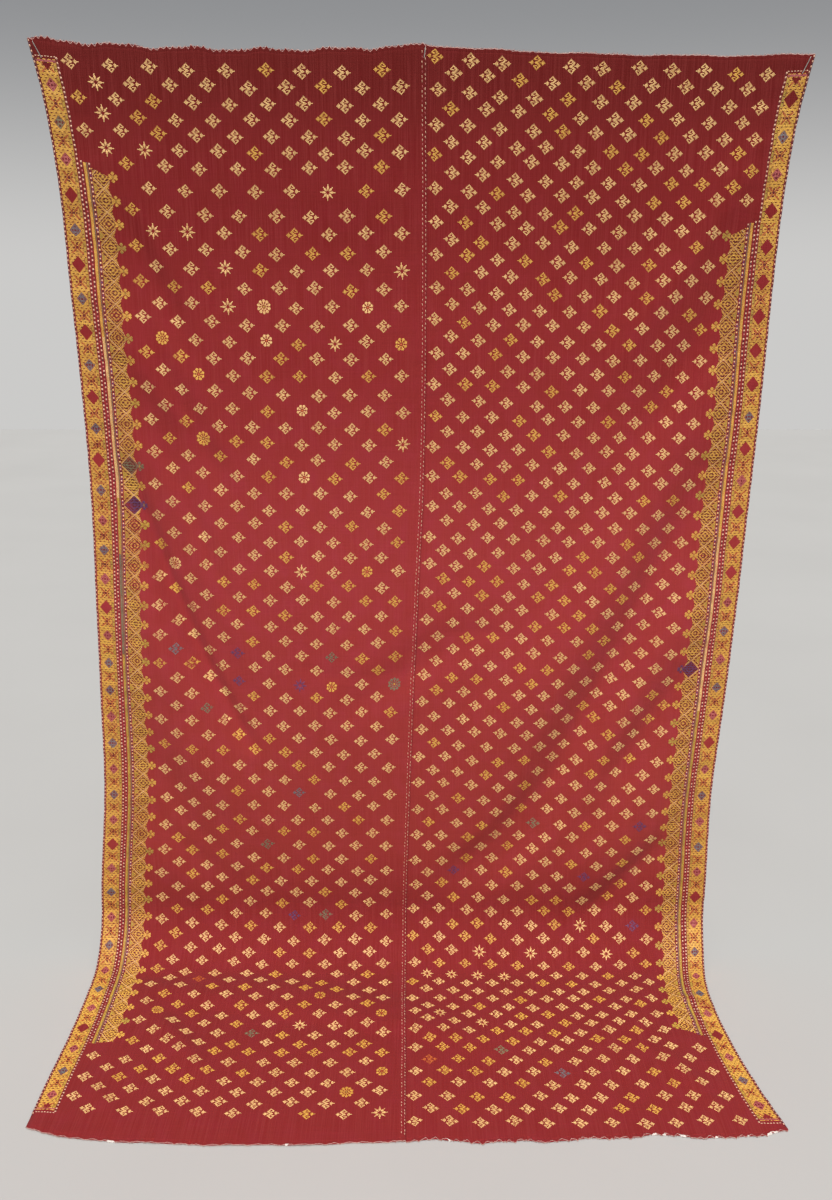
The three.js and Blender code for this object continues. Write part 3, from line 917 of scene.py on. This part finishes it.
# The band's chart: distances from the middle of a medallion, or of the gap between two.
LAST_MEDALLION = 40  # from the band's lower end
MEDALLION_STRETCH = 1.15  # how much taller than wide it is
MEDALLION_REACH = 12.4
MEDALLION_FRAME = (12.2, 15.4)
MEDALLION_RING = (6.2, 8.4)
RING_GAP = 3
MEDALLION_EYE = 2.6
CROSS_REACH = 22
CROSS_HALF = 1.6
CROSS_NOTCH = (5.5, 8.5)
NOTCH_HALF = 1.4
CROSS_EYE = 3.2
GREEN_ACROSS = 34.5  # from here to the inner side the gold turns green in patches
GREEN_PATCH = (13, 22)  # length, and length with the gap after it
PAINTED_SHADE_DOT = (2, 6)  # cells across a dot of painted shade, and from one to the next
END_LINE = (2.5, 5.5)  # from the band's ends
END_TRIANGLE = (7, 19)
TRIANGLE_HALF = 10.5

TEETH_CELL = (1.4, 1.4)
TEETH_ACROSS = (68.5, 102.5)
TEETH_PITCH = 42
TEETH_MIDDLE = 88.5
# Rings of maroon silk that paint the shade of bare cloth between the raised gold rings.
PAINTED_SHADE_RINGS = ((3.4, 7.0), (11.2, 15.0), (17.4, 19.8), (25.6, 29.4))
PALE_RING = (19.8, 22.4)
GREEN_BEYOND = 32.5
NOTCHES = (8, 12, 16)  # from a tooth's middle, where its edge steps back by a cell
ENDS_CUT = (0.45, 0.2)  # slope of the slanting top and lower ends
CUT_FROM = 42  # across
FINIAL_MIDDLE = 108.2

FIRST_TOOTH = 26  # from the top of the wide border

# Lines of beads: size, and places across.
BEAD_PITCH = 4
BEAD_LENGTH = 3.7
BEAD_PROUD = 0.25  # higher than the other stitches
SELVEDGE_BEADS = 1.7
SELVEDGE_PITCH = 4.4
SEAM_LINES = ((2.5, 8), (8.5, 12))  # from the seam, and where the first stitch lies
SEAM_PITCH = 8.2
SEAM_SLANT = (0.12, 1)
BAND_LADDER = 43.4
OUTER_LADDER = 50.2
INNER_LADDER = 65.6
DOWN = (0, 1)  # the way a line of beads runs, across and along
SIDEWAYS = (1, 0)
# The satin stripe and its edging, from and to, across.
SATIN = (54.2, 60.0)
SATIN_EDGING = (60.2, 62.8)
SATIN_PITCH = 1.75

# Teeth in other silk: along, colour.
ODD_TEETH = {"left": ((765, GREY_GREEN), (845, PURPLE)), "right": ((1200, PURPLE),)}
# Colour of the satin stripe, from a place along the cloth on.
STRIPE = {
    "left": ((0, GOLD), (520, PALE_GOLD), (840, YELLOW_GREEN), (960, GREY_GREEN), (1180, YELLOW_GREEN)),
    "right": ((0, GOLD), (900, PALE_GOLD), (1290, YELLOW_GREEN)),
}


def within(value, ends):
    return (value > ends[0]) & (value < ends[1])


def band_colours(across, along, side):
    """The gold band: medallions, and between them orange crosses, on a ground of small maroon dots that
    paint the shade of the bare cloth between the raised gold.
    """
    sequence = MEDALLIONS[side]
    pitch = (BAND[1] - LAST_MEDALLION - MEDALLION_FIRST) / (len(sequence) - 1)
    index = np.clip(np.round((along - MEDALLION_FIRST) / pitch), 0, len(sequence) - 1).astype(int)
    offset = np.abs(along - MEDALLION_FIRST - index * pitch)
    aside = np.abs(across - BAND_MIDDLE)
    between = np.abs(pitch / 2 - offset)
    stretched = MEDALLION_STRETCH * aside
    ring = stretched + offset
    middle = aside + between
    row = np.arange(across.shape[0])[:, None]
    column = np.arange(across.shape[1])[None, :]
    colours = np.full(across.shape, GOLD)
    colours[(across > GREEN_ACROSS) & (np.mod(offset, GREEN_PATCH[1]) < GREEN_PATCH[0])] = YELLOW_GREEN
    shade_dots = (np.mod(column + row, PAINTED_SHADE_DOT[1]) < PAINTED_SHADE_DOT[0]) & (np.mod(column - row, PAINTED_SHADE_DOT[1]) < PAINTED_SHADE_DOT[0])
    # Painted shade: maroon silk in the dots, where bare cloth would lie in shadow between the gold
    # stitches.
    colours[shade_dots] = MAROON
    colours[(np.abs(aside - between) < CROSS_HALF) & (middle < CROSS_REACH)] = ORANGE
    notch = (aside < NOTCH_HALF) | (between < NOTCH_HALF)
    colours[within(middle, CROSS_NOTCH) & notch] = MAROON
    colours[middle < CROSS_EYE] = MAROON
    colours[within(ring, MEDALLION_FRAME)] = GOLD
    own = np.array([MEDALLION_COLOURS[m] for m in sequence])[index]
    inside = ring <= MEDALLION_REACH
    colours[inside] = own[inside]
    broken = np.abs(stretched - offset) > RING_GAP
    colours[inside & within(ring, MEDALLION_RING) & broken] = MAROON
    colours[ring < MEDALLION_EYE] = MAROON
    colours[(own == BARE) & (ring <= MEDALLION_FRAME[1])] = BARE
    end = np.minimum(along - BAND[0], BAND[1] - along)
    colours[within(end, END_LINE)] = PINK
    start, stop = END_TRIANGLE
    narrowing = TRIANGLE_HALF * (1 - (end - start) / (stop - start))
    colours[within(end, END_TRIANGLE) & (aside < narrowing)] = BARE
    return colours


def teeth_colours(across, along, side):
    """The serrated part: nested diamonds, with halves of others between them and rings of painted
    shade, cut in steps.
    """
    start, end = WIDE_BORDER[side]
    index = np.round((along - start - FIRST_TOOTH) / TEETH_PITCH)
    offset = np.abs(along - start - FIRST_TOOTH - index * TEETH_PITCH)
    rings = np.abs(across - TEETH_MIDDLE) + offset
    row = np.arange(across.shape[0])[:, None]
    colours = np.full(across.shape, GOLD)
    colours[(rings >= PALE_RING[0]) & (rings < PALE_RING[1])] = PALE_GOLD
    colours[rings >= GREEN_BEYOND] = YELLOW_GREEN
    for place, colour in ODD_TEETH[side]:
        odd = (rings < PALE_RING[0]) & (index == round((place - start - FIRST_TOOTH) / TEETH_PITCH))
        colours[odd] = colour
    # Painted shade: maroon silk where bare cloth would lie in shadow between the gold rings.
    for ring_from, ring_to in PAINTED_SHADE_RINGS:
        colours[(rings >= ring_from) & (rings < ring_to) & (np.mod(row, 4) != 0)] = MAROON
    steps = sum((offset > notch).astype(int) for notch in NOTCHES)
    colours[across > TEETH_ACROSS[1] - TEETH_CELL[0] * steps] = BARE
    cut_off = ((along < start + ENDS_CUT[0] * (across - CUT_FROM))
               | (along > end - ENDS_CUT[1] * (across - CUT_FROM)))
    colours[cut_off] = BARE
    return colours


def stitch_cells(stitches, colours, across, along, cell):
    """One stitch for each run of like cells in a row."""
    changes = np.ones((colours.shape[0], colours.shape[1] + 1), bool)
    changes[:, 1:-1] = colours[:, 1:] != colours[:, :-1]
    rows, columns = np.nonzero(changes)
    same_row = rows[:-1] == rows[1:]
    row, first, last = rows[:-1][same_row], columns[:-1][same_row], columns[1:][same_row]
    colour = colours[row, first]
    kept = colour != BARE
    row, first, last, colour = row[kept], first[kept], last[kept], colour[kept]
    edge = across - cell[0] / 2
    stitches.add(edge[0] + first * cell[0], along[row], edge[0] + last * cell[0] - 0.12, along[row],
                 cell[1] * 0.52, STITCH_HEIGHT, colour)


def stitch_area(stitches, colours_at, ends_across, ends_along, cell):
    """Fills an oblong with stitches, coloured by a function of place and side."""
    across = np.arange(ends_across[0] + cell[0] / 2, ends_across[1], cell[0])
    along = np.arange(ends_along[0] + cell[1] / 2, ends_along[1], cell[1])
    colours = colours_at(*np.meshgrid(across, along), stitches.width.side)
    stitch_cells(stitches, colours, across, along, cell)


def dotted_line(stitches, places, direction, length, half_width, colours, random):
    """A line of beads of silk at several places, in colours that take turns."""
    count = len(places)
    along = np.array(direction, float) * (length / 2)
    wobble = random.normal(0, 0.25, (count, 2))
    places = places + wobble
    turns = np.array(colours)[np.arange(count) % len(colours)]
    stitches.add(places[:, 0] - along[0], places[:, 1] - along[1], places[:, 0] + along[0],
                 places[:, 1] + along[1], half_width, STITCH_HEIGHT + BEAD_PROUD, turns)


def line_down(across, start, end, pitch):
    along = np.arange(start, end, pitch)
    return np.stack((np.full(len(along), float(across)), along), axis=-1)


def stitch_band(width, random):
    stitches = Stitches(width)
    stitch_area(stitches, band_colours, BAND_ACROSS, BAND, BAND_CELL)
    ladder = line_down(BAND_LADDER, BAND[0] - 2, BAND[1] + 4, BEAD_PITCH)
    dotted_line(stitches, ladder, DOWN, BEAD_LENGTH, 2.0, (CREAM, MAROON), random)
    for end in (BAND[0] - 4, BAND[1] + 5):
        beads = np.stack((np.arange(6.5, 41, 5.6), np.full(7, float(end))), axis=-1)
        dotted_line(stitches, beads, SIDEWAYS, 3.4, 1.1, (CREAM,), random)
    return stitches.build(width.side + "_band_silk")


def stitch_teeth(width, random):
    start, end = WIDE_BORDER[width.side]
    stitches = Stitches(width)
    stitch_area(stitches, teeth_colours, TEETH_ACROSS, (start, end), TEETH_CELL)

    middles = np.arange(start + FIRST_TOOTH, end - 12, TEETH_PITCH)
    shades = np.where(random.random(len(middles)) < 0.3, YELLOW_GREEN, GOLD)
    for place, colour in ODD_TEETH[width.side]:
        shades[round((place - start - FIRST_TOOTH) / TEETH_PITCH)] = colour
    like = np.ones(len(middles))
    stitches.add_motifs(chart_segments(FINIAL, FINIAL_CELL), FINIAL_MIDDLE * like, middles,
                        0 * like, like, shades)

    ladder = line_down(OUTER_LADDER, start + 2, end, BEAD_PITCH)
    dotted_line(stitches, ladder, DOWN, BEAD_LENGTH, 1.9,
                (CREAM, PLUM, CREAM, MAROON, PINK, MAROON), random)
    ladder = line_down(INNER_LADDER, start + 6, end - 4, BEAD_PITCH)
    dotted_line(stitches, ladder, DOWN, BEAD_LENGTH, 1.8,
                (CREAM, PLUM, PALE_GOLD, PLUM, CREAM, PURPLE), random)
    rows = np.arange(start + 4, end - 2, SATIN_PITCH)
    shade = np.zeros(len(rows), int)
    for place, colour in STRIPE[width.side]:
        shade[rows >= place] = colour
    stitches.add(SATIN[0], rows, SATIN[1], rows + 0.5, 0.92, STITCH_HEIGHT, shade)
    stitches.add(SATIN_EDGING[0], rows, SATIN_EDGING[1], rows + 0.3, 0.9, STITCH_HEIGHT, GREY_GREEN)
    return stitches.build(width.side + "_teeth_silk")


def stitch_edge(width, random):
    """Beads of thread over the selvedge, and the running stitches that hold the seam."""
    stitches = Stitches(width)
    beads = line_down(SELVEDGE_BEADS, 4, CLOTH_LENGTH - 46, SELVEDGE_PITCH)
    dotted_line(stitches, beads, DOWN, 3.9, 1.3, (CREAM, PLUM), random)
    if width.is_left:
        for from_seam, first in SEAM_LINES:
            beads = line_down(FLAT_WIDTH - from_seam, first, CLOTH_LENGTH - 14, SEAM_PITCH)
            dotted_line(stitches, beads, SEAM_SLANT, 4.4, 0.7, (CREAM, PINK, CREAM), random)
    return stitches.build(width.side + "_edge_thread")


BACK_CELL = (3.0, 2.8)
BACK_LOWEST = HANG_LENGTH + 20
BACK_BAND_BEADS = 43.2
BACK_LADDERS = (48.6, 64.8)
BACK_STRIPE = (55.4, 62.4)


def stitch_back(width, field, random):
    """The reverse of the embroidery where the cloth hangs: the same motifs, more coarsely laid."""
    stitches = Stitches(width, on_back=True)
    field.stitch(stitches, BACK_MOTIFS, BACK_LOWEST)
    start = WIDE_BORDER[width.side][0]
    stitch_area(stitches, band_colours, BAND_ACROSS, (BAND[0], BACK_LOWEST), BACK_CELL)
    stitch_area(stitches, teeth_colours, TEETH_ACROSS, (start, BACK_LOWEST), BACK_CELL)
    beads = line_down(BACK_BAND_BEADS, BAND[0], BACK_LOWEST, 7.2)
    dotted_line(stitches, beads, DOWN, 4.6, 1.1, (CREAM,), random)
    for place in BACK_LADDERS:
        beads = line_down(place, start, BACK_LOWEST, 6)
        dotted_line(stitches, beads, DOWN, 3.6, 1.6, (CREAM, PLUM), random)
    rows = np.arange(start + 4, BACK_LOWEST, 3.2)
    stitches.add(BACK_STRIPE[0], rows, BACK_STRIPE[1], rows + 0.8, 1.5, STITCH_HEIGHT, YELLOW_GREEN)
    return stitches.build(width.side + "_back_silk")


# ---------------------------------------------------------------- raw edges

FRAY_STEP = 2.8
FRAY_DEPTHS = (0.0, 1.2, 4.5, 11.0)
# Size of the torn edge's points, and how far apart they are.
TORN = {
    ("left", "top"): (2.7, 5.6),
    ("right", "top"): (0.9, 7.0),
    ("left", "foot"): (2.2, 14.0),
    ("right", "foot"): (4.6, 9.8),
}
JAG_LIMITS = (-4.0, 5.0)
JAG_SHARES = (1, 1, 0.4, 0)  # how far each row of the strip follows the torn line
EDGE_PROUD = (0.15, 0.15, 0.1, -0.2)  # how far each row stands off the shell
PATCH_SPREAD = 0.6  # of a patch's depth, out from the edge and in from it
FLOOR_ROW = 10.4  # length of a grid row on the floor, near enough for loose hairs
HAIR_COUNT = 420
HAIR_LENGTHS = (1.5, 5.0)
HAIR_LEAN = 2.4
HAIR_HALF = 0.035  # half a root's width, in columns of the grid
HAIR_ROOT = -1.5  # where a hair starts, in from the edge
CLEAR_OF_CORNER = 2
# White frayed patches of the hem: X, length, depth.
HEM_PATCHES = ((-569, 13, 3.0), (418, 10, 3.2), (436, 6, 2.4), (469, 10, 3.6), (530, 5, 2.8),
               (588, 4, 2.6), (628, 11, 3.6), (641, 7, 3.0), (-250, 5, 2.0), (45, 6, 2.2))


def torn_line(width, end, count, random):
    """How far each place of a raw edge stands out: points and notches of uneven size."""
    size, apart = TORN[width.side, end]
    every = apart / FRAY_STEP
    points = int(count / every) + 3
    tips = random.uniform(0.35, 1.0, points) * np.where(np.arange(points) % 2, 1, -1)
    line = np.interp(np.arange(count), (np.arange(points) - 0.5) * every, tips)
    return size * (line + 0.22 * random.normal(0, 1, count))


def raw_edge(width, end, random):
    """The torn edge: a jagged strip of cloth with pale broken yarns and loose hairs."""
    across = np.arange(0, width.across[-1], FRAY_STEP)
    jag = np.clip(torn_line(width, end, len(across), random), *JAG_LIMITS)
    inward = np.array(FRAY_DEPTHS)[:, None] - jag[None, :] * np.array(JAG_SHARES)[:, None]
    colours = np.full((len(FRAY_DEPTHS) - 1, len(across) - 1), CLOTH)
    colours[0] = RAW_THREAD
    if end == "foot":
        seam = SECTIONS[-1, SEAM]
        x = np.interp(across, (0, FLAT_WIDTH), (SECTIONS[-1, width.outer_edge], seam))
        for middle, length, depth in HEM_PATCHES:
            if (middle < seam) == width.is_left:
                patch = np.abs(x - middle) < length / 2
                inward[0, patch] = -PATCH_SPREAD * depth
                inward[1, patch] = np.maximum(PATCH_SPREAD * depth, inward[1, patch])
                inward[2, patch] = np.maximum(inward[1, patch] + 1, inward[2, patch])
                colours[0, patch[:-1]] = WHITE_THREAD
    rows = inward / (HANG_LENGTH / HANG_STEPS)
    proud = np.array(EDGE_PROUD)[:, None] + np.zeros(rows.shape)
    if end == "foot":
        floor_row = (CLOTH_LENGTH - HANG_LENGTH - BEND_LENGTH) / FLOOR_STEPS
        rows = len(width.shares) - 1 - inward / floor_row
        rows, proud, colours = rows[::-1], proud[::-1], colours[::-1]
    columns = np.broadcast_to(width.column_at(across), rows.shape)
    back = width.on_grid(columns, rows, BACK_FACE - 0.4 * proud)
    front = width.on_grid(columns, rows, FRONT_FACE + proud)
    name = f"{width.side}_{end}_raw_edge"
    piece = closed_wall(name, back, front, not width.is_left, colours)
    return piece, fray_hairs(width, end, random)


def fray_hairs(width, end, random):
    """Loose yarn ends that stand out of a raw edge."""
    roots = random.uniform(CLEAR_OF_CORNER, width.across[-1] - CLEAR_OF_CORNER, HAIR_COUNT)
    hair = random.uniform(*HAIR_LENGTHS, HAIR_COUNT)
    lean = random.normal(0, HAIR_LEAN, HAIR_COUNT)
    column = width.column_at(roots)
    tips = width.column_at(roots + lean)
    outward, edge_row, row_length = (
        (-1, 0, HANG_LENGTH / HANG_STEPS) if end == "top" else (1, len(width.shares) - 1, FLOOR_ROW))
    corners = []
    root = np.full(HAIR_COUNT, HAIR_ROOT)
    for place, length, offset in ((column - HAIR_HALF, root, 0.4), (column + HAIR_HALF, root, 0.4),
                                  (column, root, 1.2), (tips, hair, 0.75)):
        rows = edge_row + outward * length / row_length
        corners.append(width.on_grid(place, rows, np.full(HAIR_COUNT, offset)))
    points = np.stack(corners, axis=1).reshape(-1, 3)
    pattern = np.array((0, 1, 3, 1, 2, 3, 2, 0, 3))
    if (outward < 0) != width.is_left:
        pattern = pattern[::-1]
    loops = (np.arange(HAIR_COUNT) * 4)[:, None] + pattern[None, :]
    sizes = np.full(HAIR_COUNT * 3, 3)
    colours = np.full(len(sizes), RAW_THREAD)
    piece = make_piece(f"{width.side}_{end}_fray", points, loops.ravel(), sizes, colours)
    return piece


# ---------------------------------------------------------------- the shawl

def cloth_shell(width):
    """The cloth itself: a closed thin sheet on its solid's form, with the finer creases."""
    back = width.back + width.normal * BACK_FACE
    front = width.back + width.normal * FRONT_FACE
    colours = np.full((back.shape[0] - 1, back.shape[1] - 1), CLOTH)
    shell = closed_wall(width.side + "_cloth", back, front, not width.is_left, colours)
    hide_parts(width.side + "_panel")
    return shell


random = np.random.default_rng(11)
for side in ("left", "right"):
    width = LoomWidth(side)
    shell = cloth_shell(width)
    field = Field(width, random)
    dressing = [
        field.front(),
        stitch_band(width, random),
        stitch_teeth(width, random),
        stitch_edge(width, random),
        stitch_back(width, field, random),
        *raw_edge(width, "top", random),
        *raw_edge(width, "foot", random),
    ]

wire = wire_material()
for name in ("pin_left", "pin_centre", "pin_right"):
    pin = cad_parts[name]
    pin.data.materials.clear()
    pin.data.materials.append(wire)

# ---------------------------------------------------------------- floor, light and camera

FLOOR_HALF = 9.0  # metres
FLOOR_GAP = 0.6  # under the cloth's solid, which rests at FLOOR_DROP
floor_mesh = bpy.data.meshes.new("floor")
floor_mesh.from_pydata(
    [(-FLOOR_HALF, -FLOOR_HALF, 0), (FLOOR_HALF, -FLOOR_HALF, 0),
     (FLOOR_HALF, FLOOR_HALF, 0), (-FLOOR_HALF, FLOOR_HALF, 0)], [], [(0, 1, 2, 3)])
floor = bpy.data.objects.new("floor", floor_mesh)
floor.location.z = -(FLOOR_DROP + FLOOR_GAP) * METRES
floor.data.materials.append(floor_material())
bpy.context.scene.collection.objects.link(floor)

# The studio round it: colour at the horizon and higher up, and how high the first one reaches.
PALE = (0.60, 0.595, 0.585, 1)
UPPER = (0.27, 0.275, 0.285, 1)
HORIZON_FADE = 0.24
world = bpy.data.worlds.new("studio")
world.use_nodes = True
tree = world.node_tree
way = add_node(tree, "TexCoord").outputs["Generated"]
facing = add_node(tree, "SeparateXYZ", {0: way})
rise = add_node(tree, "MapRange", {"Value": facing.outputs["Z"], "From Max": HORIZON_FADE},
                interpolation_type="SMOOTHSTEP")
sky = add_node(tree, "Mix", {0: rise.outputs["Result"], 6: PALE, 7: UPPER}, data_type="RGBA")
background = tree.nodes["Background"]
tree.links.new(sky.outputs[2], background.inputs["Color"])
background.inputs["Strength"].default_value = 1.0
bpy.context.scene.world = world
bpy.context.scene.view_settings.view_transform = "Standard"


def add_light(kind, name, place, aim, energy, spread):
    """A soft light that shines from a place towards another."""
    data = bpy.data.lights.new(name, kind)
    data.energy = energy
    if kind == "SUN":
        data.angle = spread
    else:
        data.shape = "DISK"
        data.size = spread
    light = bpy.data.objects.new(name, data)
    light.location = place
    offset = np.array(aim) - np.array(place)
    flat = math.hypot(offset[0], offset[1])
    heading = math.atan2(offset[1], offset[0]) - math.pi / 2
    light.rotation_euler = (math.atan2(flat, -offset[2]), 0, heading)
    bpy.context.scene.collection.objects.link(light)


add_light("SUN", "key", (-0.05, -1.25, 2.1), (0, 0, 0), 3.0, math.radians(14))
add_light("AREA", "fill", (0.1, -3.0, -1.1), (0, 0, -1.2), 9, 1.6)

camera_data = bpy.data.cameras.new("camera")
camera_data.lens = LENS
camera_data.sensor_width = SENSOR
camera = bpy.data.objects.new("camera", camera_data)
camera.location = CAMERA_PLACE
camera.rotation_euler = (math.pi / 2 - CAMERA_DOWN, 0, 0)
bpy.context.scene.collection.objects.link(camera)
bpy.context.scene.camera = camera
